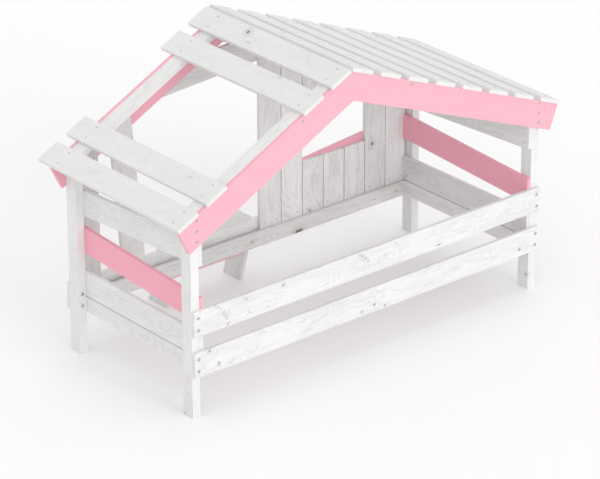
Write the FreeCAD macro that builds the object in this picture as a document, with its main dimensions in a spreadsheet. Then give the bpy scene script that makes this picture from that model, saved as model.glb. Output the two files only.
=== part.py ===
import FreeCAD, Part
import os
import re
import Sketcher
from FreeCAD import Placement, Rotation, Vector

# A child's bed built like a small house: four posts, rails and boards, an open board wall
# with a doorway and a window, two unequal roof slopes with slats, and a step at the door.
# The origin is on the floor, in the middle of the front left post's foot. X runs along the
# bed, +Y to the board wall with the doorway, +Z up. Sizes are in millimetres and degrees.

SIZES = {
    # four-post frame
    "bed_length": 2130,
    "bed_depth": 920,
    "post_width": 45,
    "post_depth": 70,
    "board_thickness": 20,
    "board_width": 127,
    # boards that carry and enclose the mattress
    "frame_height": 209,
    "ledger_width": 78,
    "front_rail_gap": 79,
    "outer_rail_width": 134,
    "end_board_gap": 5,
    "end_top_share": 0.563,
    "end_pink_share": 0.404,
    "end_board_tilt": 3.2,
    # board wall, doorway and window
    "wall_board_width": 131,
    "wall_board_gap": 4,
    "jamb_foot": 423,
    "jamb_lean": 4.9,
    "header_width": 138,
    "header_gap": 18,
    "header_tilt": 3.5,
    "window_bottom": 568,
    "window_top": 880,
    "sill_lift": 19,
    "sill_tilt": 5.3,
    "sill_overlap": 40,
    # roof
    "ridge_position": 898,
    "ridge_height": 1463,
    "left_pitch": 26.7,
    "right_pitch": 21.4,
    "left_eave": 81,
    "right_eave": 102,
    "rafter_thickness": 35,
    "left_gable_width": 139,
    "right_gable_width": 133,
    "slat_gap": 55,
    "slat_front_overhang": 10,
    "slat_back_overhang": 66,
    "left_slat_start": 5,
    "left_slat_overhang": 3,
    "right_slat_setback": 7,
    # step at the doorway
    "step_gap": 46,
    "step_width": 486,
    "step_overhang": 6,
    "leg_spread": 41,
    "leg_lean": 14,
    "riser_height": 166,
    # bolts
    "bolt_diameter": 8,
    "bolt_clearance": 0.3,
    "bolt_head_diameter": 18,
    "bolt_head_height": 3,
    "bolt_socket_size": 5,
    "bolt_socket_depth": 2,
    "bolt_end_gap": 2,
    "frame_bolt_length": 60,
    "bolt_spacing": 60,
    "gable_bolt_spacing": 50,
    "left_gable_bolt_drop": 74,
    "right_gable_bolt_drop": 61,
    "ledger_bolt_start": 115,
    "ledger_bolt_end": 104,
    "doorway_bolt_gap": 70,
    "left_rafter_bolt": 613,
    "right_rafter_bolt": 1265,
}

RIGHT_SLAT_COUNT = 8
LEFT_RIDGE_SLAT_COUNT = 2
LEFT_EAVE_SLAT_COUNT = 2
WALL_BOARD_COUNT = 7
WINDOW_BOARD_COUNT = 3
BOARD_COUNT_LEFT_OF_WINDOW = 2
BOARD_COUNT_RIGHT_OF_WINDOW = WALL_BOARD_COUNT - WINDOW_BOARD_COUNT - BOARD_COUNT_LEFT_OF_WINDOW

# Distance between the points of a sketch as they are first laid out, before they are tied.
LAYOUT_SPACING = 10

document = FreeCAD.newDocument("HouseFrameBed")
sheet = document.addObject("Spreadsheet::Sheet", "Sizes")
for row, (alias, number) in enumerate(SIZES.items(), start=1):
    sheet.set(f"A{row}", alias)
    sheet.set(f"B{row}", str(number))
    sheet.setAlias(f"B{row}", alias)
document.recompute()

parts = []


def bound(formula):
    """Point every size named in a formula at its cell of the sheet."""
    return re.sub(r"[a-z]+(?:_[a-z]+)+", lambda word: "Sizes." + word.group(0), str(formula))


# Faces and levels that several pieces share, as formulas of the sizes.
LEFT_END = "(-post_width / 2)"
RIGHT_END = "(bed_length - post_width / 2)"
LEFT_INNER = "(post_width / 2)"
RIGHT_INNER = "(bed_length - post_width * 3 / 2)"
FRONT = "(-post_depth / 2)"
BACK = "(bed_depth - post_depth / 2)"
WALL_FACE = f"({BACK} - board_thickness)"
LEDGER_FACE = f"({BACK} - 2 * board_thickness)"
RAIL_OUTER_FACE = f"({BACK} + board_thickness)"
FRONT_RAIL_FACE = f"({FRONT} - board_thickness)"
BACK_POST_FACE = f"({BACK} - post_depth)"
LEDGER_TOP = "(frame_height + ledger_width)"
RAIL_TOP = "(frame_height + outer_rail_width)"
WALL_BOARD_PITCH = "(wall_board_width + wall_board_gap)"
DOORWAY_RIGHT = f"({RIGHT_INNER} - {WALL_BOARD_COUNT} * {WALL_BOARD_PITCH})"


def roof(x, side, drop="0"):
    """Height of the top of the rafters at x, less a drop measured square to the slope."""
    reach = f"(ridge_position - ({x}))" if side == "left" else f"(({x}) - ridge_position)"
    pitch = f"{side}_pitch"
    return f"(ridge_height - {reach} * tan({pitch}) - ({drop}) / cos({pitch}))"


def slope_point(side, along, above):
    """Point at a distance down the slope from the ridge and above the rafters, square to it."""
    sign = "-" if side == "left" else "+"
    pitch = f"{side}_pitch"
    x = f"ridge_position {sign} ({along}) * cos({pitch}) {sign} ({above}) * sin({pitch})"
    z = f"ridge_height - ({along}) * sin({pitch}) + ({above}) * cos({pitch})"
    return x, z


def attach(sketch, body, role, offset):
    """Lay a sketch on one of its body's origin planes, moved along the plane's normal."""
    plane = next(item for item in body.Origin.OriginFeatures if item.Role == role)
    sketch.AttachmentSupport = [(plane, "")]
    sketch.MapMode = "FlatFace"
    sketch.setExpression("AttachmentOffset.Base.z", bound(offset))


def tie_point(sketch, geometry, position, x, y):
    """Fix one point of a sketch by two dimensions from the origin, each bound to a formula."""
    for kind, formula, start in (("DistanceX", x, 1), ("DistanceY", y, 1)):
        index = sketch.addConstraint(
            Sketcher.Constraint(kind, -1, 1, geometry, position, start)
        )
        sketch.setExpression(f"Constraints[{index}]", bound(formula))


def draw_outline(sketch, points):
    """Closed outline of straight edges whose corners are tied to formulas."""
    count = len(points)
    corners = [
        Vector(LAYOUT_SPACING * index, LAYOUT_SPACING * index * index, 0) for index in range(count)
    ]
    for index in range(count):
        line = Part.LineSegment(corners[index], corners[(index + 1) % count])
        sketch.addGeometry(line)
    for index in range(count):
        sketch.addConstraint(Sketcher.Constraint("Coincident", index, 2, (index + 1) % count, 1))
    for index, (x, y) in enumerate(points):
        tie_point(sketch, index, 1, x, y)


def board(name, role, outline, start, thickness):
    """A board cut to an outline, from a start level through its thickness.

    Outlines on XZ_Plane hold x and z and grow along +Y, outlines on YZ_Plane hold y and z
    and grow along +X, and outlines on XY_Plane hold x and y and grow along +Z.
    """
    body = document.addObject("PartDesign::Body", name)
    body.Label = name
    sketch = body.newObject("Sketcher::SketchObject", name + "_outline")
    backwards = role == "XZ_Plane"
    attach(sketch, body, role, f"-({start})" if backwards else start)
    draw_outline(sketch, outline)
    pad = body.newObject("PartDesign::Pad", name + "_pad")
    pad.Profile = sketch
    pad.setExpression("Length", bound(thickness))
    pad.Reversed = backwards
    body.Tip = pad
    parts.append(body)
    return body


def drill(body, places, start, depth, towards_back=True):
    """Round bolt holes along Y at the given x and z, from a start level to a depth."""
    name = body.Name
    count = sum(1 for item in body.Group if item.isDerivedFrom("PartDesign::Pocket"))
    sketch = body.newObject("Sketcher::SketchObject", f"{name}_holes_{count}")
    attach(sketch, body, "XZ_Plane", f"-({start})")
    diameter = SIZES["bolt_diameter"]
    for index, (x, z) in enumerate(places):
        centre = Vector(LAYOUT_SPACING * index, LAYOUT_SPACING * index, 0)
        sketch.addGeometry(Part.Circle(centre, Vector(0, 0, 1), diameter / 2))
        tie_point(sketch, index, 3, x, z)
        size = sketch.addConstraint(Sketcher.Constraint("Diameter", index, diameter))
        sketch.setExpression(
            f"Constraints[{size}]", bound("bolt_diameter + 2 * bolt_clearance")
        )
    pocket = body.newObject("PartDesign::Pocket", f"{name}_drilled_{count}")
    pocket.Profile = sketch
    pocket.setExpression("Length", bound(depth))
    pocket.Reversed = not towards_back
    body.Tip = pocket


def rectangle(low, high, bottom, top):
    """Corners of an upright rectangle."""
    return [(low, bottom), (high, bottom), (high, top), (low, top)]


# Posts: square-edged timber whose top is cut to the slope of the rafter that lies on it.
def make_post(name, side, inner_edge, outer_edge, front_face):
    drop = "rafter_thickness"
    outline = [
        (outer_edge, "0"),
        (inner_edge, "0"),
        (inner_edge, roof(inner_edge, side, drop)),
        (outer_edge, roof(outer_edge, side, drop)),
    ]
    return board(name, "XZ_Plane", outline, front_face, "post_depth")


front_left_post = make_post("post_front_left", "left", LEFT_INNER, LEFT_END, FRONT)
front_right_post = make_post("post_front_right", "right", RIGHT_INNER, RIGHT_END, FRONT)
back_left_post = make_post("post_back_left", "left", LEFT_INNER, LEFT_END, BACK_POST_FACE)
back_right_post = make_post("post_back_right", "right", RIGHT_INNER, RIGHT_END, BACK_POST_FACE)

# Front: a bed rail and a guard rail across the faces of the front posts.
GUARD_HEIGHT = "(frame_height + board_width + front_rail_gap)"
bed_rail = board(
    "front_bed_rail",
    "XZ_Plane",
    rectangle(LEFT_END, RIGHT_END, "frame_height", "frame_height + board_width"),
    FRONT_RAIL_FACE,
    "board_thickness",
)
guard_rail = board(
    "front_guard_rail",
    "XZ_Plane",
    rectangle(LEFT_END, RIGHT_END, GUARD_HEIGHT, f"{GUARD_HEIGHT} + board_width"),
    FRONT_RAIL_FACE,
    "board_thickness",
)

# Back: a rail across the outer faces of the back posts.
outer_rail = board(
    "back_outer_rail",
    "XZ_Plane",
    rectangle(LEFT_END, RIGHT_END, "frame_height", RAIL_TOP),
    BACK,
    "board_thickness",
)

# Ledgers: narrow boards that carry the mattress base along the front and the back.
LEFT_LEDGER_END = f"({LEFT_INNER} + board_thickness)"
RIGHT_LEDGER_END = f"({RIGHT_INNER} - board_thickness)"
front_ledger = board(
    "front_ledger",
    "XZ_Plane",
    rectangle(LEFT_LEDGER_END, RIGHT_LEDGER_END, "frame_height", LEDGER_TOP),
    FRONT,
    "board_thickness",
)
back_ledger = board(
    "back_ledger",
    "XZ_Plane",
    rectangle(LEFT_LEDGER_END, RIGHT_LEDGER_END, "frame_height", LEDGER_TOP),
    LEDGER_FACE,
    "board_thickness",
)

# Ends: a ledger, a level board and two boards set askew, on the inner faces of the posts.
# The top board lies at a share of the height from the level board to the posts' tops, and
# the middle one at a share of the height that is free between its neighbours.
LEVEL_BOARD_BOTTOM = f"({LEDGER_TOP} + end_board_gap)"
LEVEL_BOARD_TOP = f"({LEVEL_BOARD_BOTTOM} + board_width)"
POST_TOP = roof(LEFT_END, "left", "rafter_thickness")
END_TOP_HEIGHT = f"({LEVEL_BOARD_TOP} + end_top_share * ({POST_TOP} - {LEVEL_BOARD_TOP}))"
END_FREE_HEIGHT = f"({END_TOP_HEIGHT} - {LEVEL_BOARD_TOP} - board_width)"
END_PINK_HEIGHT = f"({LEVEL_BOARD_TOP} + end_pink_share * {END_FREE_HEIGHT})"
TILTED_HEIGHT = "board_width / cos(end_board_tilt)"
END_LEVELS = {
    "ledger": ("frame_height", "ledger_width", "0"),
    "lower_board": (LEVEL_BOARD_BOTTOM, "board_width", "0"),
    "middle_board": (END_PINK_HEIGHT, TILTED_HEIGHT, "tan(end_board_tilt)"),
    "top_board": (END_TOP_HEIGHT, TILTED_HEIGHT, "-tan(end_board_tilt)"),
}
END_BOARD_LENGTH = f"({WALL_FACE} - {FRONT})"
END_SIDES = {"left": LEFT_INNER, "right": RIGHT_LEDGER_END}
for side, inner_face in END_SIDES.items():
    for level, (bottom, height, rise) in END_LEVELS.items():
        front_bottom = f"{bottom} - {END_BOARD_LENGTH} / 2 * ({rise})"
        back_bottom = f"{bottom} + {END_BOARD_LENGTH} / 2 * ({rise})"
        outline = [
            (FRONT, front_bottom),
            (WALL_FACE, back_bottom),
            (WALL_FACE, f"{back_bottom} + {height}"),
            (FRONT, f"{front_bottom} + {height}"),
        ]
        board(f"{side}_end_{level}", "YZ_Plane", outline, inner_face, "board_thickness")


# Board wall: upright boards between the back posts, under the rafters.
def make_wall_board(name, left_edge, right_edge, bottom, side="right"):
    drop = "rafter_thickness"
    outline = [
        (left_edge, bottom),
        (right_edge, bottom),
        (right_edge, roof(right_edge, side, drop)),
        (left_edge, roof(left_edge, side, drop)),
    ]
    return board(name, "XZ_Plane", outline, WALL_FACE, "board_thickness")


corner_board = make_wall_board(
    "corner_wall_board",
    LEFT_INNER,
    f"({LEFT_INNER} + board_width)",
    "frame_height",
    "left",
)
for number in range(1, WALL_BOARD_COUNT + 1):
    left_edge = f"({RIGHT_INNER} - {WALL_BOARD_COUNT + 1 - number} * {WALL_BOARD_PITCH})"
    right_edge = f"({left_edge} + wall_board_width)"
    boards_to_the_right = WALL_BOARD_COUNT - number
    if number > BOARD_COUNT_LEFT_OF_WINDOW and boards_to_the_right >= BOARD_COUNT_RIGHT_OF_WINDOW:
        board(
            f"wall_board_{number}_below_window",
            "XZ_Plane",
            rectangle(left_edge, right_edge, "frame_height", "window_bottom"),
            WALL_FACE,
            "board_thickness",
        )
        make_wall_board(f"wall_board_{number}_above_window", left_edge, right_edge, "window_top")
    else:
        make_wall_board(f"wall_board_{number}", left_edge, right_edge, "frame_height")

# Door jamb: a board that leans outwards from the bed rail up to the rafter.
JAMB_SPAN = "(board_width / cos(jamb_lean))"
JAMB_SHIFT = "tan(jamb_lean)"


def jamb_top(foot):
    """Where an edge of the jamb, leaning from its foot, meets the underside of the rafter."""
    rise = (
        f"((ridge_height - frame_height - (ridge_position - ({foot})) * tan(left_pitch)"
        " - rafter_thickness / cos(left_pitch)) / (1 + tan(jamb_lean) * tan(left_pitch)))"
    )
    return f"{foot} - {rise} * {JAMB_SHIFT}", f"frame_height + {rise}"


door_jamb = board(
    "door_jamb",
    "XZ_Plane",
    [
        ("jamb_foot - " + JAMB_SPAN, "frame_height"),
        ("jamb_foot", "frame_height"),
        jamb_top("jamb_foot"),
        jamb_top("jamb_foot - " + JAMB_SPAN),
    ],
    WALL_FACE,
    "board_thickness",
)

# Door header: a slightly tilted board outside the wall, fitted between the two gable boards.
# Under the ridge its upper edge keeps a gap from the lower edge of the left gable board.
HEADER_RISE = "tan(header_tilt)"
HEADER_SPAN = "header_width / cos(header_tilt)"
HEADER_DEPTH = f"(left_gable_width / cos(left_pitch) + header_gap + {HEADER_SPAN})"
HEADER_HEIGHT = f"(ridge_height - {HEADER_DEPTH})"


def header_corner(side, lift):
    """Where an edge of the header meets the lower edge of a gable board."""
    drop = f"{side}_gable_width / cos({side}_pitch)"
    free_height = f"({HEADER_DEPTH} - {drop} - {lift})"
    if side == "left":
        reach = f"({free_height} / ({HEADER_RISE} - tan(left_pitch)))"
    else:
        reach = f"({free_height} / ({HEADER_RISE} + tan(right_pitch)))"
    return f"ridge_position + {reach}", f"{HEADER_HEIGHT} + {lift} + {reach} * {HEADER_RISE}"


door_header = board(
    "door_header",
    "XZ_Plane",
    [
        header_corner("left", "0"),
        header_corner("right", "0"),
        header_corner("right", HEADER_SPAN),
        header_corner("left", HEADER_SPAN),
    ],
    BACK,
    "board_thickness",
)

# Window sill: a tilted board on the outer face of the wall boards, standing a little above
# the window's lower edge at the window's middle.
BOARD_COUNT_FROM_WINDOW = WALL_BOARD_COUNT - BOARD_COUNT_LEFT_OF_WINDOW
WINDOW_LEFT = f"({RIGHT_INNER} - {BOARD_COUNT_FROM_WINDOW} * {WALL_BOARD_PITCH} - sill_overlap)"
WINDOW_RIGHT = (
    f"({RIGHT_INNER} - {BOARD_COUNT_RIGHT_OF_WINDOW} * {WALL_BOARD_PITCH} + sill_overlap)"
)
WINDOW_MIDDLE = f"(({WINDOW_LEFT} + {WINDOW_RIGHT}) / 2)"


def sill_top(x):
    return f"window_bottom + sill_lift + (({x}) - {WINDOW_MIDDLE}) * tan(sill_tilt)"


window_sill = board(
    "window_sill_board",
    "XZ_Plane",
    [
        (WINDOW_LEFT, f"{sill_top(WINDOW_LEFT)} - board_width / cos(sill_tilt)"),
        (WINDOW_RIGHT, f"{sill_top(WINDOW_RIGHT)} - board_width / cos(sill_tilt)"),
        (WINDOW_RIGHT, sill_top(WINDOW_RIGHT)),
        (WINDOW_LEFT, sill_top(WINDOW_LEFT)),
    ],
    BACK,
    "board_thickness",
)


# Rafters: flat timbers on the posts, mitred together at the ridge.
def make_rafter(name, side, outer_edge, front_face):
    drop = "rafter_thickness"
    outline = [
        (outer_edge, roof(outer_edge, side, drop)),
        ("ridge_position", roof("ridge_position", side, drop)),
        ("ridge_position", "ridge_height"),
        (outer_edge, roof(outer_edge, side)),
    ]
    return board(name, "XZ_Plane", outline, front_face, "post_depth")


front_left_rafter = make_rafter("rafter_front_left", "left", LEFT_END, FRONT)
front_right_rafter = make_rafter("rafter_front_right", "right", RIGHT_END, FRONT)
back_left_rafter = make_rafter("rafter_back_left", "left", LEFT_END, BACK_POST_FACE)
back_right_rafter = make_rafter("rafter_back_right", "right", RIGHT_END, BACK_POST_FACE)

# Gable boards: the left one runs on past the ridge and the right one butts against it.
EAVE_LENGTH_LEFT = f"((ridge_position - {LEFT_END} + left_eave) / cos(left_pitch))"
EAVE_LENGTH_RIGHT = f"(({RIGHT_END} + right_eave - ridge_position) / cos(right_pitch))"
SEAM_REACH = "(left_gable_width / cos(left_pitch) / (tan(left_pitch) + tan(right_pitch)))"
SEAM_TOP = (f"ridge_position + {SEAM_REACH}", roof(f"ridge_position + {SEAM_REACH}", "right"))
THROAT_REACH = (
    "((left_gable_width / cos(left_pitch) - right_gable_width / cos(right_pitch))"
    " / (tan(left_pitch) + tan(right_pitch)))"
)
SEAM_FOOT = (
    f"ridge_position + {THROAT_REACH}",
    roof(f"ridge_position + {THROAT_REACH}", "right", "right_gable_width"),
)


def make_gable(position, start):
    left = board(
        f"gable_board_{position}_left",
        "XZ_Plane",
        [
            slope_point("left", EAVE_LENGTH_LEFT, "-left_gable_width"),
            SEAM_TOP,
            ("ridge_position", "ridge_height"),
            slope_point("left", EAVE_LENGTH_LEFT, "0"),
        ],
        start,
        "board_thickness",
    )
    right = board(
        f"gable_board_{position}_right",
        "XZ_Plane",
        [
            SEAM_FOOT,
            slope_point("right", EAVE_LENGTH_RIGHT, "-right_gable_width"),
            slope_point("right", EAVE_LENGTH_RIGHT, "0"),
            SEAM_TOP,
        ],
        start,
        "board_thickness",
    )
    return left, right


front_gable = make_gable("front", FRONT_RAIL_FACE)
back_gable = make_gable("back", BACK)

# Roof slats: boards along Y on top of the rafters and gable boards. The left slope has a
# pair at the ridge and a pair at the eave, the right slope is covered evenly.
SLAT_FRONT = f"({FRONT_RAIL_FACE} - slat_front_overhang)"
SLAT_LENGTH = f"({RAIL_OUTER_FACE} + slat_back_overhang - {SLAT_FRONT})"
LEFT_SLAT_PITCH = "(board_width + slat_gap)"
RIGHT_SLAT_SPREAD = f"({EAVE_LENGTH_RIGHT} - right_slat_setback - board_width)"


def make_slat(name, side, start):
    end = f"({start} + board_width)"
    outline = [
        slope_point(side, start, "0"),
        slope_point(side, start, "board_thickness"),
        slope_point(side, end, "board_thickness"),
        slope_point(side, end, "0"),
    ]
    board(name, "XZ_Plane", outline, SLAT_FRONT, SLAT_LENGTH)


for number in range(LEFT_RIDGE_SLAT_COUNT):
    start = f"(left_slat_start + {number} * {LEFT_SLAT_PITCH})"
    make_slat(f"roof_slat_left_{number + 1}", "left", start)
LAST_LEFT_START = f"({EAVE_LENGTH_LEFT} + left_slat_overhang - board_width)"
for number in range(LEFT_EAVE_SLAT_COUNT):
    start = f"({LAST_LEFT_START} - {LEFT_EAVE_SLAT_COUNT - 1 - number} * {LEFT_SLAT_PITCH})"
    make_slat(f"roof_slat_left_{LEFT_RIDGE_SLAT_COUNT + number + 1}", "left", start)
for number in range(RIGHT_SLAT_COUNT):
    start = f"({number} * {RIGHT_SLAT_SPREAD} / {RIGHT_SLAT_COUNT - 1})"
    make_slat(f"roof_slat_right_{number + 1}", "right", start)

# Step at the doorway, beside the first wall board: two leaning legs against the outer rail,
# a tread and a riser.
STEP_LEFT = f"({DOORWAY_RIGHT} - step_gap - step_width)"
STEP_RIGHT = f"({STEP_LEFT} + step_width)"
LEG_FOOT = f"({RAIL_OUTER_FACE} + leg_spread)"
LEG_SPAN = "(board_width / cos(leg_lean))"
for side, inner_face in (
    ("left", STEP_LEFT),
    ("right", f"{STEP_RIGHT} - board_thickness"),
):
    outline = [
        (LEG_FOOT, "0"),
        (f"{LEG_FOOT} + {LEG_SPAN}", "0"),
        (f"{LEG_FOOT} + {LEG_SPAN} - {RAIL_TOP} * tan(leg_lean)", RAIL_TOP),
        (RAIL_OUTER_FACE, RAIL_TOP),
        (RAIL_OUTER_FACE, "leg_spread / tan(leg_lean)"),
    ]
    board(f"step_leg_{side}", "YZ_Plane", outline, inner_face, "board_thickness")

board(
    "step_tread",
    "XY_Plane",
    rectangle(
        f"{STEP_LEFT} - step_overhang",
        f"{STEP_RIGHT} + step_overhang",
        BACK,
        f"{BACK} + board_width",
    ),
    RAIL_TOP,
    "board_thickness",
)
board(
    "step_riser",
    "XZ_Plane",
    rectangle(
        f"{STEP_LEFT} + board_thickness",
        f"{STEP_RIGHT} - board_thickness",
        "riser_height",
        "riser_height + board_width",
    ),
    RAIL_OUTER_FACE,
    "board_thickness",
)


# Bolts: round heads with a hexagon socket, all along Y.
def make_bolt_pattern(name, shank_length):
    """One bolt with its head's underside in the XY plane and its shank down -Z."""
    body = document.addObject("PartDesign::Body", name)
    profile = body.newObject("Sketcher::SketchObject", name + "_profile")
    attach(profile, body, "XZ_Plane", "0")
    draw_outline(
        profile,
        [
            ("0", f"-({shank_length})"),
            ("bolt_diameter / 2", f"-({shank_length})"),
            ("bolt_diameter / 2", "0"),
            ("bolt_head_diameter / 2", "0"),
            ("bolt_head_diameter / 2", "bolt_head_height / 2"),
            ("bolt_head_diameter / 2 - bolt_head_height / 2", "bolt_head_height"),
            ("0", "bolt_head_height"),
        ],
    )
    turned = body.newObject("PartDesign::Revolution", name + "_turned")
    turned.Profile = profile
    turned.ReferenceAxis = (profile, ["V_Axis"])
    turned.Angle = 360
    body.Tip = turned
    socket = body.newObject("Sketcher::SketchObject", name + "_socket")
    attach(socket, body, "XY_Plane", "bolt_head_height")
    corner = "bolt_socket_size / 2 / cos(30)"
    hexagon = [
        (f"{corner} * cos({60 * turn})", f"{corner} * sin({60 * turn})") for turn in range(6)
    ]
    draw_outline(socket, hexagon)
    recess = body.newObject("PartDesign::Pocket", name + "_recess")
    recess.Profile = socket
    recess.setExpression("Length", bound("bolt_socket_depth"))
    body.Tip = recess
    return body


def make_bolts(name, shank_length, places):
    """A group of equal bolts. Each place holds x, y, z of the seat and the head's side."""
    pattern = make_bolt_pattern(name + "_pattern", shank_length)
    links = []
    for index, (x, y, z, head_side) in enumerate(places, start=1):
        link = document.addObject("App::Link", f"{name}_{index}")
        link.LinkedObject = pattern
        link.LinkTransform = False
        turn = 90 if head_side == "front" else -90
        link.Placement = Placement(Vector(), Rotation(Vector(1, 0, 0), turn))
        for axis, formula in (("x", x), ("y", y), ("z", z)):
            link.setExpression(f"Placement.Base.{axis}", bound(formula))
        links.append(link)
    group = document.addObject("Part::Compound", name)
    group.Label = name
    group.Links = links
    parts.append(group)


LEFT_POST_MIDDLE = "0"
RIGHT_POST_MIDDLE = "(bed_length - post_width)"
POST_MIDDLES = {"left": LEFT_POST_MIDDLE, "right": RIGHT_POST_MIDDLE}
BED_RAIL_MIDDLE = "(frame_height + board_width / 2)"
GUARD_RAIL_MIDDLE = f"({GUARD_HEIGHT} + board_width / 2)"
OUTER_RAIL_MIDDLE = "(frame_height + outer_rail_width / 2)"
LEDGER_MIDDLE = "(frame_height + ledger_width / 2)"


def pair(x, middle):
    """Two bolts one above the other."""
    return [(x, f"{middle} - bolt_spacing / 2"), (x, f"{middle} + bolt_spacing / 2")]


def gable_bolts(side):
    """Three bolts above one another: two reach into the post and the top one into the rafter."""
    x = POST_MIDDLES[side]
    middle = f"{roof(x, side)} - {side}_gable_bolt_drop"
    return [(x, f"{middle} + {step} * gable_bolt_spacing") for step in (-1, 0, 1)]


RAFTER_BOLTS = {
    "left": [("left_rafter_bolt", roof("left_rafter_bolt", "left", "rafter_thickness / 2"))],
    "right": [("right_rafter_bolt", roof("right_rafter_bolt", "right", "rafter_thickness / 2"))],
}

# Depth that a frame bolt reaches into the timber behind its board.
BLIND_DEPTH = "frame_bolt_length - board_thickness + bolt_end_gap"
frame_bolt_places = []
gables = {
    "left": (front_gable[0], back_gable[0]),
    "right": (front_gable[1], back_gable[1]),
}
posts = {
    "left": (front_left_post, back_left_post),
    "right": (front_right_post, back_right_post),
}
rafters = {
    "left": (front_left_rafter, back_left_rafter),
    "right": (front_right_rafter, back_right_rafter),
}
for side, x in POST_MIDDLES.items():
    rail_bolts = pair(x, BED_RAIL_MIDDLE) + pair(x, GUARD_RAIL_MIDDLE)
    post_bolts = gable_bolts(side)
    in_post = post_bolts[:2]
    in_rafter = post_bolts[2:] + RAFTER_BOLTS[side]
    drill(posts[side][0], rail_bolts + in_post, FRONT, BLIND_DEPTH)
    drill(posts[side][1], in_post, BACK, BLIND_DEPTH, towards_back=False)
    drill(rafters[side][0], in_rafter, FRONT, BLIND_DEPTH)
    drill(rafters[side][1], in_rafter, BACK, BLIND_DEPTH, towards_back=False)
    through_gable = in_post + in_rafter
    drill(gables[side][0], through_gable, FRONT_RAIL_FACE, "board_thickness")
    drill(gables[side][1], through_gable, BACK, "board_thickness")
    frame_bolt_places += [
        (x, FRONT_RAIL_FACE, z, "front") for x, z in rail_bolts + through_gable
    ]
    frame_bolt_places += [(x, RAIL_OUTER_FACE, z, "back") for x, z in through_gable]

for rail, middle in ((bed_rail, BED_RAIL_MIDDLE), (guard_rail, GUARD_RAIL_MIDDLE)):
    places = pair(LEFT_POST_MIDDLE, middle) + pair(RIGHT_POST_MIDDLE, middle)
    drill(rail, places, FRONT_RAIL_FACE, "board_thickness")

# Long bolts hold the outer rail through the back posts, with their heads inside the bed.
outer_rail_bolts = pair(LEFT_POST_MIDDLE, OUTER_RAIL_MIDDLE)
outer_rail_bolts += pair(RIGHT_POST_MIDDLE, OUTER_RAIL_MIDDLE)
drill(back_left_post, outer_rail_bolts[:2], BACK_POST_FACE, "post_depth")
drill(back_right_post, outer_rail_bolts[2:], BACK_POST_FACE, "post_depth")
LONG_BOLT = "post_depth + board_thickness - bolt_end_gap"

# Ledger bolts: short ones at the front, longer ones through the back ledger. The middle
# ones lie in the doorway, beside the first wall board.
FIRST_LEDGER_BOLT = "ledger_bolt_start"
LAST_LEDGER_BOLT = f"({RIGHT_POST_MIDDLE} - ledger_bolt_end)"
MIDDLE_LEDGER_BOLT = f"({DOORWAY_RIGHT} - doorway_bolt_gap)"
ledger_bolts = [
    (x, LEDGER_MIDDLE) for x in (FIRST_LEDGER_BOLT, MIDDLE_LEDGER_BOLT, LAST_LEDGER_BOLT)
]
drill(bed_rail, ledger_bolts, FRONT_RAIL_FACE, "board_thickness")
drill(front_ledger, ledger_bolts, FRONT, "board_thickness")
drill(back_ledger, ledger_bolts, LEDGER_FACE, "board_thickness")
drill(outer_rail, outer_rail_bolts + ledger_bolts, BACK, "board_thickness")
wall_boards = {body.Name: body for body in parts}
drill(corner_board, ledger_bolts[:1], WALL_FACE, "board_thickness")
last_wall_board = wall_boards[f"wall_board_{WALL_BOARD_COUNT}"]
drill(last_wall_board, ledger_bolts[2:], WALL_FACE, "board_thickness")

make_bolts("frame_bolts", "frame_bolt_length", frame_bolt_places)
make_bolts(
    "outer_rail_bolts",
    LONG_BOLT,
    [(x, BACK_POST_FACE, z, "front") for x, z in outer_rail_bolts],
)
make_bolts(
    "front_ledger_bolts",
    "2 * board_thickness - bolt_end_gap",
    [(x, FRONT_RAIL_FACE, z, "front") for x, z in ledger_bolts],
)
make_bolts(
    "back_ledger_bolts",
    "3 * board_thickness - bolt_end_gap",
    [(x, LEDGER_FACE, z, "front") for x, z in ledger_bolts],
)

document.recompute()
for item in document.Objects:
    if "Invalid" in item.State or "Error" in item.State:
        raise RuntimeError(f"{item.Name} did not rebuild: {item.State}")
for part in parts:
    if part.Shape.isNull() or not part.Shape.isValid():
        raise RuntimeError(f"{part.Label} has no valid shape")

os.makedirs("parts", exist_ok=True)
for part in parts:
    part.Shape.exportStep(f"parts/{part.Label}.step")
print(len(parts), "parts written")
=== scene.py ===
import math
from itertools import count

import bmesh
import bpy
from mathutils import Euler, Matrix, Vector


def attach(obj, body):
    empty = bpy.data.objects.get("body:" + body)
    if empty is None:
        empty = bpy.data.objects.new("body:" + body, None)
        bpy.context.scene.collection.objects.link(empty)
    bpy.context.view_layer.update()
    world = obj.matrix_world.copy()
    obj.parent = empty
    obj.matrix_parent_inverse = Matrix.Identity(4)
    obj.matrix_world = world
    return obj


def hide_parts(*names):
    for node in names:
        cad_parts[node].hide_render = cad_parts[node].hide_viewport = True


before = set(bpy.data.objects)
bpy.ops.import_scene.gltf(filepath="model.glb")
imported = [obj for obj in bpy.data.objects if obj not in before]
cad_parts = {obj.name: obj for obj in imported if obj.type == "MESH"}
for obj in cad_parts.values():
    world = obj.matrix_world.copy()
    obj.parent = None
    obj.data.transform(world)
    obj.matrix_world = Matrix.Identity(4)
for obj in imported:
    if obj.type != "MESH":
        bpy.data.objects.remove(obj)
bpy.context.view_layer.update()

# Posts: four uprights of square-edged pine, planed, with their arrises eased and a thin
# white glaze that lets the grain show. Their heads are cut to the slope of the rafters.
POST_NAMES = ("post_front_left", "post_front_right", "post_back_left", "post_back_right")
WHITE_GLAZE = (0.80, 0.797, 0.795, 1.0)
# A darker white, painted shade on the pieces that stand in shadow.
PAINTED_SHADE_GLAZE = (0.74, 0.735, 0.73, 1.0)


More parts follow.
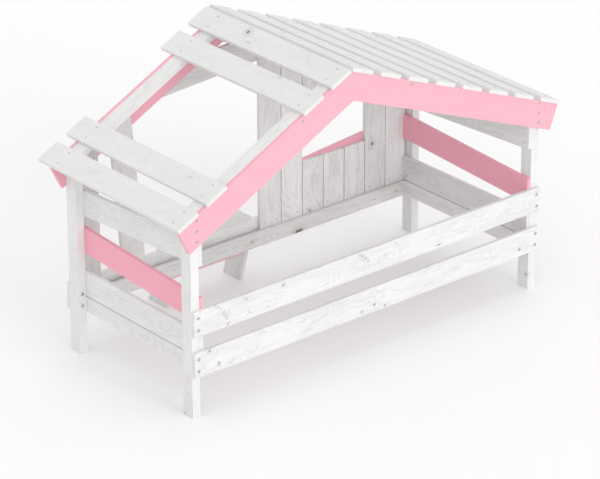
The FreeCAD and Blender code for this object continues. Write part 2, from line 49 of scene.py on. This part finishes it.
def add_node(tree, kind, inputs=None, **settings):
    """Add a shader node, set its properties, and set or link its named inputs."""
    made = tree.nodes.new("ShaderNode" + kind)
    for key, value in settings.items():
        setattr(made, key, value)
    for key, value in (inputs or {}).items():
        if isinstance(value, bpy.types.NodeSocket):
            tree.links.new(value, made.inputs[key])
        else:
            made.inputs[key].default_value = value
    return made


def reckon(tree, operation, *values):
    """One sum of the pattern, such as a product or a power of two values."""
    return add_node(tree, "Math", dict(enumerate(values)), operation=operation).outputs[0]


def between(tree, value, low, high):
    """A soft step of a value, 0 at the low end and 1 at the high end."""
    return add_node(
        tree,
        "MapRange",
        {"Value": value, "From Min": low, "From Max": high},
        interpolation_type="SMOOTHSTEP",
    ).outputs["Result"]


def blend_colours(tree, share, under, over):
    """One colour over another by a share."""
    mix = add_node(tree, "Mix", data_type="RGBA")
    for socket, value in ((mix.inputs[0], share), (mix.inputs[6], under), (mix.inputs[7], over)):
        if isinstance(value, bpy.types.NodeSocket):
            tree.links.new(value, socket)
        else:
            socket.default_value = value
    return mix.outputs[2]


def start_finish(name):
    """A new material with an empty node tree."""
    material = bpy.data.materials.new(name)
    material.use_nodes = True
    material.node_tree.nodes.clear()
    return material, material.node_tree


# the log: its knots
KNOT_REPEAT = (1.7, 5.0, 0.0)  # cells a metre along and across
KNOT_RARITY = 0.58
KNOT_RADIUS = 0.009
KNOT_RADIUS_SPREAD = 0.022
KNOT_RAGGED = 0.03
KNOT_CORE_FADE = (1.0, 0.6)
KNOT_RIM_FADE = (4.0, 0.9)
KNOT_SWIRL_FADE = (0.45, 0.0)
KNOT_SWIRL = 3.2

# the log: its year rings
PITH_DEPTH = 0.075
RINGS_A_METRE = 80.0
LATE_WOOD_SHARPNESS = 3.0
RUBBED_LEAST = 0.15

# the log: noises as repeats a metre along, across and through, detail, roughness, distortion
RAGGED_NOISE = ((60, 140, 60), 2.0)
DRIFT_NOISE = ((4.2, 9.0, 9.0), 2.0, 0.5, 0.6)
RUBBED_NOISE = ((5, 24, 24), 3.0, 0.6)
FIBRE_NOISE = ((9, 330, 330), 3.0, 0.65)
CLOUD_NOISE = ((2.6, 12, 12), 4.0, 0.6)
CLUSTER_NOISE = ((3.4, 9, 9), 1.0)
PIT_NOISE = ((60, 95, 95), 2.0)
RUBBED_STEP = (0.36, 0.62)
FIBRE_STEP = (0.40, 0.72)
CLOUD_STEP = (0.34, 0.68)
CLUSTER_STEP = (0.55, 0.66)
PIT_STEP = (0.60, 0.68)


def saw_log():
    """The figure of flat-sawn pine, in metres along, across and through a board.

    The year rings lie round a pith under the board, so its face shows arches, its ends show
    arcs and its edges show lines. The rings wander, and swirl round the knots.
    """
    log = bpy.data.node_groups.new("flat_sawn_pine", "ShaderNodeTree")
    log.interface.new_socket("Place", in_out="INPUT", socket_type="NodeSocketVector")
    log.interface.new_socket("Wander", in_out="INPUT", socket_type="NodeSocketFloat")
    for figure in ("Rings", "Fibres", "Knots", "Knot Rims", "Clouds", "Pits"):
        log.interface.new_socket(figure, in_out="OUTPUT", socket_type="NodeSocketFloat")
    enter = log.nodes.new("NodeGroupInput")
    place, wander = enter.outputs["Place"], enter.outputs["Wander"]

    def grow(scale, detail, roughness=0.5, distortion=0.0):
        stretched = add_node(log, "VectorMath", {0: place, 1: scale}, operation="MULTIPLY")
        return add_node(
            log,
            "TexNoise",
            {
                "Vector": stretched.outputs[0],
                "Scale": 1.0,
                "Detail": detail,
                "Roughness": roughness,
                "Distortion": distortion,
            },
        ).outputs[0]

    # knots: one here and there along the board, longer along the grain than across it
    flat = add_node(log, "VectorMath", {0: place, 1: KNOT_REPEAT}, operation="MULTIPLY")
    cells = add_node(
        log,
        "TexVoronoi",
        {"Vector": flat.outputs[0], "Scale": 1.0, "Randomness": 1.0},
        voronoi_dimensions="2D",
    )
    from_heart = cells.outputs["Distance"]
    chance = add_node(log, "SeparateColor", {0: cells.outputs["Color"]})
    present = reckon(log, "GREATER_THAN", chance.outputs[1], KNOT_RARITY)
    radius = reckon(log, "MULTIPLY_ADD", chance.outputs[0], KNOT_RADIUS_SPREAD, KNOT_RADIUS)
    ragged = reckon(log, "MULTIPLY_ADD", grow(*RAGGED_NOISE), KNOT_RAGGED, -KNOT_RAGGED / 2)
    reach = reckon(log, "DIVIDE", reckon(log, "ADD", from_heart, ragged), radius)
    knots = reckon(log, "MULTIPLY", between(log, reach, *KNOT_CORE_FADE), present)
    rims = reckon(log, "MULTIPLY", between(log, reach, *KNOT_RIM_FADE), present)
    swirl = reckon(log, "MULTIPLY", between(log, from_heart, *KNOT_SWIRL_FADE), present)

    # year rings: dark where the wood grew late, and rubbed away here and there
    parts = add_node(log, "SeparateXYZ", {0: place})
    depth = reckon(log, "ADD", parts.outputs[2], PITH_DEPTH)
    squares = reckon(
        log,
        "ADD",
        reckon(log, "POWER", parts.outputs[1], 2.0),
        reckon(log, "POWER", depth, 2.0),
    )
    ring = reckon(log, "MULTIPLY", reckon(log, "SQRT", squares), RINGS_A_METRE)
    ring = reckon(log, "ADD", ring, reckon(log, "MULTIPLY", grow(*DRIFT_NOISE), wander))
    ring = reckon(log, "ADD", ring, reckon(log, "MULTIPLY", swirl, KNOT_SWIRL))
    wave = reckon(log, "SINE", reckon(log, "MULTIPLY", ring, 2 * math.pi))
    late = reckon(log, "POWER", reckon(log, "MULTIPLY_ADD", wave, 0.5, 0.5), LATE_WOOD_SHARPNESS)
    rubbed = between(log, grow(*RUBBED_NOISE), *RUBBED_STEP)
    rubbed = reckon(log, "MULTIPLY_ADD", rubbed, 1.0 - RUBBED_LEAST, RUBBED_LEAST)

    clustered = between(log, grow(*CLUSTER_NOISE), *CLUSTER_STEP)
    figures = {
        "Rings": reckon(log, "MULTIPLY", late, rubbed),
        "Fibres": between(log, grow(*FIBRE_NOISE), *FIBRE_STEP),
        "Knots": knots,
        "Knot Rims": rims,
        "Clouds": between(log, grow(*CLOUD_NOISE), *CLOUD_STEP),
        "Pits": reckon(log, "MULTIPLY", between(log, grow(*PIT_NOISE), *PIT_STEP), clustered),
    }
    leave = log.nodes.new("NodeGroupOutput")
    for figure, value in figures.items():
        log.links.new(value, leave.inputs[figure])
    return log


LOG = saw_log()
SHARP = math.radians(25)


def read_grain(shape):
    """How a board lies: its middle, its directions along, across and through, and its spans."""
    arrises = [edge for edge in shape.edges if edge.calc_face_angle(0.0) > SHARP]
    longest = max(arrises, key=lambda edge: edge.calc_length())
    along = (longest.verts[1].co - longest.verts[0].co).normalized()
    areas = {}
    for face in shape.faces:
        key = tuple(round(value, 2) for value in face.normal)
        areas[key] = areas.get(key, 0.0) + face.calc_area()
    through = Vector(max(areas, key=areas.get))
    through = (through - along * through.dot(along)).normalized()
    across = through.cross(along)
    middle = Vector()
    spans = []
    for direction in (along, across, through):
        reaches = [vertex.co.dot(direction) for vertex in shape.verts]
        middle += direction * (max(reaches) + min(reaches)) / 2
        spans.append(max(reaches) - min(reaches))
    return middle, along, across, through, spans


def darken(colour, tone):
    """A colour brought down to a share of its brightness."""
    return tuple(part * tone for part in colour[:3]) + (1.0,)


BOARD_STEP = 3.7  # how far along the log each board is cut from the one before
GREY_GRAIN = (0.40, 0.385, 0.375, 1.0)
KNOT_BROWN = (0.10, 0.075, 0.06, 1.0)
LATE_WOOD_TONE = 0.55
KNOT_RIM_TONE = 0.5

# how strongly each figure shows through the glaze
CLOUD_SHOW = 0.12
RING_SHOW = 0.21
FIBRE_SHOW = 0.15
RIM_SHOW = 0.28
PIT_SHOW = 0.50
CORE_SHOW = 0.92
MARK_CORE_FADE = (1.5, 0.7)  # in radii of the mark
MARK_RIM_FADE = (5.0, 1.0)

# how the figure stands in the glaze, and how the glaze shines
FIBRE_RELIEF = -0.5
RING_RELIEF = 0.6
RELIEF_STRENGTH = 0.35
RELIEF_DEPTH = 0.0004
GLAZE_ROUGHNESS = 0.46
FIBRE_ROUGHNESS = 0.16
CLOUD_ROUGHNESS = 0.08
GLAZE_IOR = 1.45
GLAZE_SPECULAR = 0.35


def glaze(name, grain, number, colour=WHITE_GLAZE, show=1.0, wander=7.0, knots=1.0, checks=1.0, marks=()):
    """A thin glaze over one board's own grain, thinner on the late rings and round the knots.

    Marks are knots at known places: x, y, z and radius in metres.
    """
    material, tree = start_finish(name)
    middle, along, across, through = grain[:4]
    turn = Matrix((along, across, through))
    shift = -(turn @ middle) + Vector((number * BOARD_STEP, 0.0, 0.0))
    seat = add_node(tree, "TexCoord")
    board = add_node(
        tree,
        "Mapping",
        {"Vector": seat.outputs["Object"], "Location": shift, "Rotation": turn.to_euler("XYZ")},
        vector_type="POINT",
    )
    log = tree.nodes.new("ShaderNodeGroup")
    log.node_tree = LOG
    tree.links.new(board.outputs[0], log.inputs["Place"])
    log.inputs["Wander"].default_value = wander
    figure = {socket.name: socket for socket in log.outputs}

    cores = reckon(tree, "MULTIPLY", figure["Knots"], knots)
    rims = reckon(tree, "MULTIPLY", figure["Knot Rims"], knots)
    for x, y, z, radius in marks:
        spot = turn @ Vector((x, y, z)) + shift
        away = add_node(tree, "VectorMath", {0: board.outputs[0], 1: spot}, operation="DISTANCE")
        away = away.outputs["Value"]
        ragged = reckon(tree, "MULTIPLY_ADD", figure["Fibres"], radius, away)
        core = between(tree, ragged, *(reach * radius for reach in MARK_CORE_FADE))
        rim = between(tree, away, *(reach * radius for reach in MARK_RIM_FADE))
        cores = reckon(tree, "MAXIMUM", cores, core)
        rims = reckon(tree, "MAXIMUM", rims, rim)

    late_wood = darken(colour, LATE_WOOD_TONE)
    shown = colour
    for share, strength, over in (
        (figure["Clouds"], CLOUD_SHOW * show, late_wood),
        (figure["Rings"], RING_SHOW * show, late_wood),
        (figure["Fibres"], FIBRE_SHOW * show, late_wood),
        (rims, RIM_SHOW, darken(colour, KNOT_RIM_TONE)),
        (figure["Pits"], PIT_SHOW * checks, GREY_GRAIN),
        (cores, CORE_SHOW, KNOT_BROWN),
    ):
        shown = blend_colours(tree, reckon(tree, "MULTIPLY", share, strength), shown, over)

    relief = reckon(tree, "MULTIPLY", figure["Rings"], RING_RELIEF)
    relief = reckon(tree, "MULTIPLY_ADD", figure["Fibres"], FIBRE_RELIEF, relief)
    relief = reckon(tree, "SUBTRACT", relief, reckon(tree, "ADD", figure["Pits"], cores))
    bump = add_node(
        tree, "Bump", {"Strength": RELIEF_STRENGTH, "Distance": RELIEF_DEPTH, "Height": relief}
    )
    sheen = reckon(tree, "MULTIPLY_ADD", figure["Fibres"], FIBRE_ROUGHNESS, GLAZE_ROUGHNESS)
    sheen = reckon(tree, "MULTIPLY_ADD", figure["Clouds"], CLOUD_ROUGHNESS, sheen)
    coat = add_node(
        tree,
        "BsdfPrincipled",
        {
            "Base Color": shown,
            "Roughness": sheen,
            "Normal": bump.outputs[0],
            "IOR": GLAZE_IOR,
            "Specular IOR Level": GLAZE_SPECULAR,
        },
    )
    add_node(tree, "OutputMaterial", {"Surface": coat.outputs[0]})
    return material


MERGE_DISTANCE = 0.00002


def take_up(name, ending, *finishes):
    """Copy a CAD piece, open the copy in edit mode and merge its loose triangles."""
    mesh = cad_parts[name].data.copy()
    mesh.materials.clear()
    for finish in finishes:
        mesh.materials.append(finish)
    piece = bpy.data.objects.new(name + ending, mesh)
    bpy.context.collection.objects.link(piece)
    bpy.ops.object.select_all(action="DESELECT")
    piece.select_set(True)
    bpy.context.view_layer.objects.active = piece
    bpy.ops.object.mode_set(mode="EDIT")
    bpy.ops.mesh.select_all(action="SELECT")
    bpy.ops.mesh.remove_doubles(threshold=MERGE_DISTANCE)
    return piece


ARRIS = 0.0014
ARRIS_SEGMENTS = 2
SHORTEST_ARRIS = 0.012
board_numbers = count(1)
lie = {}  # how each planed board lies


def plane_board(name, slot="white_wood", **finish):
    """Copy a CAD board, ease its long arrises and glaze it as its own board."""
    timber = take_up(name, "_planed")
    bpy.ops.mesh.select_all(action="DESELECT")
    bpy.ops.mesh.select_mode(type="EDGE")
    shape = bmesh.from_edit_mesh(timber.data)
    for edge in shape.edges:
        if edge.calc_length() > SHORTEST_ARRIS and edge.calc_face_angle(0.0) > SHARP:
            edge.select_set(True)
    lie[name] = read_grain(shape)
    bmesh.update_edit_mesh(timber.data)
    bpy.ops.mesh.bevel(offset=ARRIS, segments=ARRIS_SEGMENTS, clamp_overlap=False)
    bpy.ops.object.mode_set(mode="OBJECT")
    timber.data.materials.append(glaze(name + "_glaze", lie[name], next(board_numbers), **finish))
    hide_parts(name)
    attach(timber, "root")


POST_KNOTS = {"post_front_right": ((2.062, -0.023, 0.078, 0.006),)}
# The back right post takes the darker white, as painted shade.
for name in POST_NAMES:
    plane_board(
        name,
        colour=PAINTED_SHADE_GLAZE if name == "post_back_right" else WHITE_GLAZE,
        show=0.7,
        wander=2.5,
        knots=0.5,
        checks=0.6,
        marks=POST_KNOTS.get(name, ()),
    )

# Front rails and outer rail: long planed pine boards, bolted across the faces of the posts.
# Their white glaze is thin, and the wild figure of the pine swirls through it.
RAIL_NAMES = ("front_bed_rail", "front_guard_rail", "back_outer_rail")
RAIL_FACE = -0.055
GUARD_RAIL_KNOTS = (
    (0.098, 0.539, 0.0020),
    (0.109, 0.527, 0.0028),
    (0.116, 0.532, 0.0018),
    (0.131, 0.516, 0.0020),
    (0.146, 0.488, 0.0032),
    (0.152, 0.499, 0.0018),
    (0.158, 0.474, 0.0020),
    (0.165, 0.458, 0.0026),
    (0.170, 0.427, 0.0034),
    (0.182, 0.434, 0.0018),
    (0.268, 0.526, 0.0026),
    (0.282, 0.515, 0.0034),
    (0.293, 0.449, 0.0020),
    (0.410, 0.438, 0.0022),
    (0.495, 0.521, 0.0048),
    (0.957, 0.526, 0.0030),
    (0.973, 0.519, 0.0038),
    (0.991, 0.502, 0.0046),
    (1.008, 0.486, 0.0030),
    (1.073, 0.464, 0.0024),
    (1.116, 0.485, 0.0036),
)
BED_RAIL_KNOTS = (
    (0.062, 0.325, 0.0062),
    (0.972, 0.231, 0.0046),
    (1.115, 0.222, 0.0046),
)
RAIL_KNOTS = {
    "front_guard_rail": [(x, RAIL_FACE, z, radius) for x, z, radius in GUARD_RAIL_KNOTS],
    "front_bed_rail": [(x, RAIL_FACE, z, radius) for x, z, radius in BED_RAIL_KNOTS],
}
for name in RAIL_NAMES:
    plane_board(name, show=1.3, wander=8.0, checks=1.3, marks=RAIL_KNOTS.get(name, ()))

# Ledgers: narrow boards of glazed pine that carry the mattress base, the long ones bolted to
# the rails. One long dark knot lies at the lower edge of the back ledger.
SLIGHT_GLAZE = (0.765, 0.76, 0.757, 1.0)
LONG_KNOT = [(1.333 + 0.009 * step, 0.845, 0.217, 0.010) for step in range(4)]
plane_board("front_ledger", show=1.2, wander=5.0)
plane_board("back_ledger", colour=SLIGHT_GLAZE, show=1.6, wander=5.0, marks=LONG_KNOT)
for side in ("left", "right"):
    plane_board(f"{side}_end_ledger", wander=3.0, knots=0.0)

# End boards: three pine boards across each end, on the inner faces of the posts. The lowest
# lies level and is glazed white, and a pink one and a white one are set askew above it.
DEEP_PINK_PAINT = (0.90, 0.41, 0.50, 1.0)
# The right end's lower board, under the roof, takes the darker white as painted shade.
for side, lower_glaze in (("left", WHITE_GLAZE), ("right", PAINTED_SHADE_GLAZE)):
    plane_board(f"{side}_end_lower_board", colour=lower_glaze, wander=8.0, checks=0.8)
    plane_board(
        f"{side}_end_middle_board",
        slot="pink_wood",
        colour=DEEP_PINK_PAINT,
        show=0.25,
        knots=0.0,
        checks=0.0,
    )
    plane_board(f"{side}_end_top_board", wander=8.0, checks=0.8)

# Board wall: upright boards of glazed pine with a narrow gap between them, screwed to the
# ledger below and to the rafter above. Some boards take a lighter white and some a darker
# one. The dark white of the corner board is painted shade, where the end boards shade it.
WALL_NAMES = sorted(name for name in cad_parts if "wall_board" in name)
FRESH_GLAZE = (0.83, 0.827, 0.825, 1.0)
SHORT_BOARD_GLAZE = (0.79, 0.785, 0.78, 1.0)
# Painted shade: the corner board's white is darkened where the end boards shade it.
CORNER_PAINTED_SHADE_GLAZE = (0.67, 0.66, 0.655, 1.0)
WALL_GLAZES = {
    "wall_board_1": SLIGHT_GLAZE,
    "wall_board_6": SLIGHT_GLAZE,
    "corner_wall_board": CORNER_PAINTED_SHADE_GLAZE,
}
WALL_KNOTS = {
    "wall_board_6": ((1.839, 0.865, 0.540, 0.0100), (1.831, 0.865, 0.516, 0.003)),
    "wall_board_3_below_window": ((1.434, 0.865, 0.297, 0.006),),
}
for name in WALL_NAMES:
    usual_glaze = SHORT_BOARD_GLAZE if name.endswith("window") else FRESH_GLAZE
    plane_board(
        name,
        colour=WALL_GLAZES.get(name, usual_glaze),
        show=1.5,
        wander=4.0,
        knots=0.35,
        marks=WALL_KNOTS.get(name, ()),
    )

# Doorway: a jamb that leans outwards as it rises to the rafter, and a slightly tilted header
# that is fitted between the gable boards. Both are boards of glazed pine.
# Their darker white is painted shade in the doorway under the roof.
for name in ("door_jamb", "door_header"):
    plane_board(name, colour=PAINTED_SHADE_GLAZE, show=1.3, wander=8.0)

# Window sill: a pine board painted pink. It is fixed aslant on the outer face of the wall and
# stands a little above the window's lower edge.
PINK_PAINT = (0.87, 0.43, 0.51, 1.0)
plane_board("window_sill_board", slot="pink_wood", colour=PINK_PAINT, show=0.35, knots=0.0, checks=0.0)

# Rafters: flat planed timbers of pine, glazed white. They lie on the sloping heads of the
# posts and are mitred together at the ridge.
RAFTER_NAMES = sorted(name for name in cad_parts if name.startswith("rafter_"))
for name in RAFTER_NAMES:
    plane_board(name, wander=6.0)

# Gable boards: pine boards along both slopes under an opaque pink paint, bolted through to the
# posts and the rafters.
GABLE_NAMES = sorted(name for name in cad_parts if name.startswith("gable_board_"))
for name in GABLE_NAMES:
    plane_board(name, slot="pink_wood", colour=PINK_PAINT, show=0.2, knots=0.0, checks=0.0)

# Roof slats: boards of glazed pine laid across the rafters with open joints between them,
# each screwed down to both rafters.
SLAT_NAMES = sorted(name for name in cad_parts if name.startswith("roof_slat_"))
SLAT_KNOTS = {"roof_slat_left_1": ((0.849, 0.619, 1.461, 0.0095),)}
SLAT_GLAZE = (0.765, 0.762, 0.758, 1.0)
for name in SLAT_NAMES:
    plane_board(
        name,
        colour=SLAT_GLAZE,
        show=0.55,
        wander=7.0,
        knots=0.3,
        checks=0.5,
        marks=SLAT_KNOTS.get(name, ()),
    )

# Step: two leaning legs and a tread of glazed pine against the outer rail at the doorway,
# with a riser between the legs that is painted pink.
# The legs and the tread take the darker white, as painted shade.
for name in ("step_leg_left", "step_leg_right", "step_tread"):
    plane_board(name, colour=PAINTED_SHADE_GLAZE)
plane_board("step_riser", slot="pink_wood", colour=PINK_PAINT, show=0.35, knots=0.0, checks=0.0)

# Screws: small countersunk screws of dark steel with a dished recess. They hold the slats to
# the rafters, the wall boards to the ledger and the rafter, the white end boards to the posts,
# the ledger to the wall and the tread to the legs.
SCREW_SIDES = 12
SCREW_RADIUS = 0.0036
SCREW_HEIGHT = 0.0012
SCREW_PROUD = 0.0003
SCREW_FROM_EDGE = 0.028
SCREW_LAND = 0.42 * SCREW_RADIUS
SCREW_DISH_WALL = 0.12 * SCREW_RADIUS
SCREW_DISH_DEPTH = 0.7 * SCREW_HEIGHT
STEEL_DARK = (0.22, 0.21, 0.20, 1.0)
STEEL_GREY = (0.38, 0.36, 0.34, 1.0)
STEEL_MOTTLE = 600.0
STEEL_ROUGHNESS = (0.2, 0.4)  # what the mottle adds, and the least
UPRIGHT_FACE = 0.9

TO_THE_FRONT = (0.0, -1.0, 0.0)
TO_THE_TOP = (0.0, 0.0, 1.0)
END_INSIDES = {"left": (1.0, 0.0, 0.0), "right": (-1.0, 0.0, 0.0)}
SLAT_SCREWS = (0.0, 0.85)
END_BOARD_SCREWS = (0.0, 0.83)
WALL_FOOT_SCREW = 0.312
WALL_HEAD_SCREW_DROP = 0.10
WINDOW_EDGE_SCREW_DROP = 0.017
LEDGER_SCREWS = (0.25, 0.567, 0.885, 1.206, 1.521, 1.838)
LEDGER_SCREW_ROW = 0.003
TREAD_SCREWS = (0.60, 1.06)


def turn_screw():
    """One screw head that faces up at the origin, with a dished recess."""
    bpy.ops.object.select_all(action="DESELECT")
    bpy.ops.mesh.primitive_cylinder_add(vertices=SCREW_SIDES, radius=SCREW_RADIUS, depth=SCREW_HEIGHT)
    head = bpy.context.object
    bpy.ops.object.mode_set(mode="EDIT")
    bpy.ops.mesh.select_mode(type="FACE")
    bpy.ops.mesh.select_all(action="DESELECT")
    shape = bmesh.from_edit_mesh(head.data)
    for face in shape.faces:
        face.select_set(face.normal.z > UPRIGHT_FACE)
    bmesh.update_edit_mesh(head.data)
    bpy.ops.mesh.inset(thickness=SCREW_LAND)
    bpy.ops.mesh.inset(thickness=SCREW_DISH_WALL)
    bpy.ops.transform.translate(value=(0.0, 0.0, -SCREW_DISH_DEPTH))
    bpy.ops.object.mode_set(mode="OBJECT")
    return head


def blacken_steel():
    """Dark phosphated steel, mottled, with a little sheen."""
    material, tree = start_finish("dark_steel")
    seat = add_node(tree, "TexCoord")
    stain = add_node(
        tree, "TexNoise", {"Vector": seat.outputs["Object"], "Scale": STEEL_MOTTLE, "Detail": 2.0}
    ).outputs[0]
    steel = add_node(
        tree,
        "BsdfPrincipled",
        {
            "Base Color": blend_colours(tree, stain, STEEL_DARK, STEEL_GREY),
            "Roughness": reckon(tree, "MULTIPLY_ADD", stain, *STEEL_ROUGHNESS),
            "Metallic": 1.0,
        },
    )
    add_node(tree, "OutputMaterial", {"Surface": steel.outputs[0]})
    return material


SCREW_PATTERN = turn_screw()
DARK_STEEL = blacken_steel()


def drive_screws(name, levels, facing, rows=None):
    """Drive screws into a board at levels along it, near both edges or in given rows."""
    middle, along, across, through, (_, width, thickness) = lie[name]
    axis = max(range(3), key=lambda index: abs(along[index]))
    outward = through if through.dot(Vector(facing)) > 0 else -through
    upright = outward.to_track_quat("Z", "Y").to_matrix().to_4x4()
    if rows is None:
        edge = width / 2 - SCREW_FROM_EDGE
        rows = (-edge, edge)
    bpy.ops.object.select_all(action="DESELECT")
    for level in levels:
        run = (level - middle[axis]) / along[axis]
        for row in rows:
            seat = middle + along * run + across * row
            seat += outward * (thickness / 2 + SCREW_PROUD - SCREW_HEIGHT / 2)
            mesh = SCREW_PATTERN.data.copy()
            mesh.transform(Matrix.Translation(seat) @ upright)
            screw = bpy.data.objects.new(name + "_screws", mesh)
            bpy.context.collection.objects.link(screw)
            screw.select_set(True)
            bpy.context.view_layer.objects.active = screw
    bpy.ops.object.join()
    screws = bpy.context.object
    screws.data.materials.append(DARK_STEEL)
    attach(screws, "root")


for name in SLAT_NAMES:
    drive_screws(name, SLAT_SCREWS, TO_THE_TOP)
for name in WALL_NAMES:
    middle, spans = lie[name][0], lie[name][4]
    top = middle.z + spans[0] / 2
    if name.endswith("below_window"):
        drive_screws(name, (WALL_FOOT_SCREW,), TO_THE_FRONT)
        drive_screws(name, (top - WINDOW_EDGE_SCREW_DROP,), TO_THE_FRONT, rows=(0.0,))
    elif name.endswith("above_window"):
        drive_screws(name, (top - WALL_HEAD_SCREW_DROP,), TO_THE_FRONT)
    else:
        drive_screws(name, (WALL_FOOT_SCREW, top - WALL_HEAD_SCREW_DROP), TO_THE_FRONT)
for side, facing in END_INSIDES.items():
    for level in ("lower", "top"):
        drive_screws(f"{side}_end_{level}_board", END_BOARD_SCREWS, facing)
drive_screws("back_ledger", LEDGER_SCREWS, TO_THE_FRONT, rows=(LEDGER_SCREW_ROW,))
drive_screws("step_tread", TREAD_SCREWS, TO_THE_TOP)
bpy.data.objects.remove(SCREW_PATTERN)

# Bolts: turned steel with a hexagon socket, plated with yellow zinc. They hold the rails, the
# long ledgers and the gable boards. The faces inside the sockets are painted dark, as painted shade.
BOLT_NAMES = [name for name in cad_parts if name.endswith("_bolts")]
YELLOW_ZINC = (0.82, 0.79, 0.73, 1.0)
DULL_ZINC = (0.44, 0.415, 0.37, 1.0)
# Painted shade: the dark colours of the faces inside the sockets.
SOCKET_DARK = (0.035, 0.032, 0.028, 1.0)
SOCKET_DARKER = (0.09, 0.08, 0.065, 1.0)
ZINC_MOTTLE = 420.0
STAIN_STEP = (0.38, 0.66)
ZINC_ROUGHNESS = (0.3, 0.22)  # what the stain adds, and the least
ZINC_RELIEF = 0.2
ZINC_RELIEF_DEPTH = 0.0002
SOCKET_RADIUS = 0.0032
SOCKET_RIM = 0.0004
HEAD_HEIGHT = 0.003


def plate(name, bright, dull, metallic):
    """Plated steel, stained in fine patches."""
    material, tree = start_finish(name)
    seat = add_node(tree, "TexCoord")
    stain = add_node(
        tree, "TexNoise", {"Vector": seat.outputs["Object"], "Scale": ZINC_MOTTLE, "Detail": 3.0}
    ).outputs[0]
    bump = add_node(
        tree, "Bump", {"Strength": ZINC_RELIEF, "Distance": ZINC_RELIEF_DEPTH, "Height": stain}
    )
    metal = add_node(
        tree,
        "BsdfPrincipled",
        {
            "Base Color": blend_colours(tree, between(tree, stain, *STAIN_STEP), bright, dull),
            "Roughness": reckon(tree, "MULTIPLY_ADD", stain, *ZINC_ROUGHNESS),
            "Normal": bump.outputs[0],
            "Metallic": metallic,
        },
    )
    add_node(tree, "OutputMaterial", {"Surface": metal.outputs[0]})
    return material


ZINC = plate("yellow_zinc", YELLOW_ZINC, DULL_ZINC, 1.0)
# Painted shade: a dark, matt finish on the faces inside the sockets.
SOCKET = plate("socket_shade", SOCKET_DARK, SOCKET_DARKER, 0.0)


def follow_bolt(start):
    """All the faces of the bolt that one face belongs to."""
    found = {start}
    ahead = [start]
    while ahead:
        for edge in ahead.pop().edges:
            for face in edge.link_faces:
                if face not in found:
                    found.add(face)
                    ahead.append(face)
    return found


def shade_socket(bolt):
    """Give the faces inside a bolt's socket the second material, the painted shade, and the rest the
    first.
    """
    corners = [vertex.co for face in bolt for vertex in face.verts]
    x, y, z = ([corner[axis] for corner in corners] for axis in range(3))
    axis_x = (min(x) + max(x)) / 2
    axis_z = (min(z) + max(z)) / 2
    widest = max(corners, key=lambda corner: math.hypot(corner.x - axis_x, corner.z - axis_z))
    head = min(y) if widest.y - min(y) < max(y) - widest.y else max(y)
    for face in bolt:
        middle = face.calc_center_median()
        inside = math.hypot(middle.x - axis_x, middle.z - axis_z) < SOCKET_RADIUS
        sunk = SOCKET_RIM < abs(middle.y - head) < HEAD_HEIGHT
        face.material_index = 1 if inside and sunk else 0


for name in BOLT_NAMES:
    bolts = take_up(name, "_plated", ZINC, SOCKET)
    shape = bmesh.from_edit_mesh(bolts.data)
    left = set(shape.faces)
    while left:
        bolt = follow_bolt(next(iter(left)))
        left -= bolt
        shade_socket(bolt)
    bmesh.update_edit_mesh(bolts.data)
    bpy.ops.object.mode_set(mode="OBJECT")
    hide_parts(name)
    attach(bolts, "root")

# Studio: a wide pale floor under a matt paint, an even pale surround, and four far, soft lamps
# before and above the bed. The camera sees the surround as plain white.
FLOOR_SIZE = 120.0
FLOOR_COLOUR = (0.933, 0.928, 0.928, 1.0)
FLOOR_ROUGHNESS = 0.9
SURROUND = 0.87
LAMP_SPREAD = math.radians(32)
LAMPS = {
    "low_front_lamp": ((0.0, -1.0, 0.03), 0.26),
    "front_lamp": ((0.0, -1.0, 0.5), 0.14),
    "top_lamp": ((0.0, 0.0, 1.0), 0.085),
    "front_left_lamp": ((-0.7, -0.7, 0.6), 0.07),
}

bpy.ops.object.select_all(action="DESELECT")
bpy.ops.mesh.primitive_plane_add(size=FLOOR_SIZE, location=(0.0, 0.0, 0.0))
floor = bpy.context.object
floor.name = "studio_floor"
floor_paint = bpy.data.materials.new("floor_paint")
floor_paint.use_nodes = True
matt = floor_paint.node_tree.nodes["Principled BSDF"].inputs
matt["Base Color"].default_value = FLOOR_COLOUR
matt["Roughness"].default_value = FLOOR_ROUGHNESS
matt["Specular IOR Level"].default_value = 0.0
floor.data.materials.append(floor_paint)

world = bpy.data.worlds.new("studio_surround")
bpy.context.scene.world = world
world.use_nodes = True
sky = world.node_tree
sky.nodes.clear()
path = add_node(sky, "LightPath")
seen = reckon(sky, "MAXIMUM", path.outputs["Is Camera Ray"], path.outputs["Is Glossy Ray"])
seen = reckon(sky, "MAXIMUM", seen, path.outputs["Is Transmission Ray"])
lit = add_node(sky, "Background", {"Color": (1.0, 1.0, 1.0, 1.0), "Strength": SURROUND})
white = add_node(sky, "Background", {"Color": (1.0, 1.0, 1.0, 1.0), "Strength": 1.0})
choose = add_node(sky, "MixShader", {0: seen, 1: lit.outputs[0], 2: white.outputs[0]})
add_node(sky, "OutputWorld", {"Surface": choose.outputs[0]})

for name, (direction, share) in LAMPS.items():
    lamp = bpy.data.lights.new(name, "SUN")
    lamp.angle = LAMP_SPREAD
    lamp.energy = share * math.pi
    stand = bpy.data.objects.new(name, lamp)
    bpy.context.collection.objects.link(stand)
    stand.rotation_euler = Vector(direction).to_track_quat("Z", "Y").to_euler()

# Camera: a long lens, placed where it sees the bed as the photograph does. Its place is in
# metres and its turn in degrees.
CAMERA_LENS = 204.67
CAMERA_SENSOR = 36.0
CAMERA_REACH = 200.0
CAMERA_PLACE = (-8.4438, -10.7819, 7.2730)
CAMERA_TURN = (64.955, 0.048, -40.140)
lens = bpy.data.cameras.new("camera")
lens.lens = CAMERA_LENS
lens.sensor_width = CAMERA_SENSOR
lens.clip_end = CAMERA_REACH
camera = bpy.data.objects.new("camera", lens)
bpy.context.collection.objects.link(camera)
camera.location = CAMERA_PLACE
camera.rotation_euler = Euler([math.radians(angle) for angle in CAMERA_TURN])
bpy.context.scene.camera = camera
bpy.context.scene.view_settings.view_transform = "Standard"
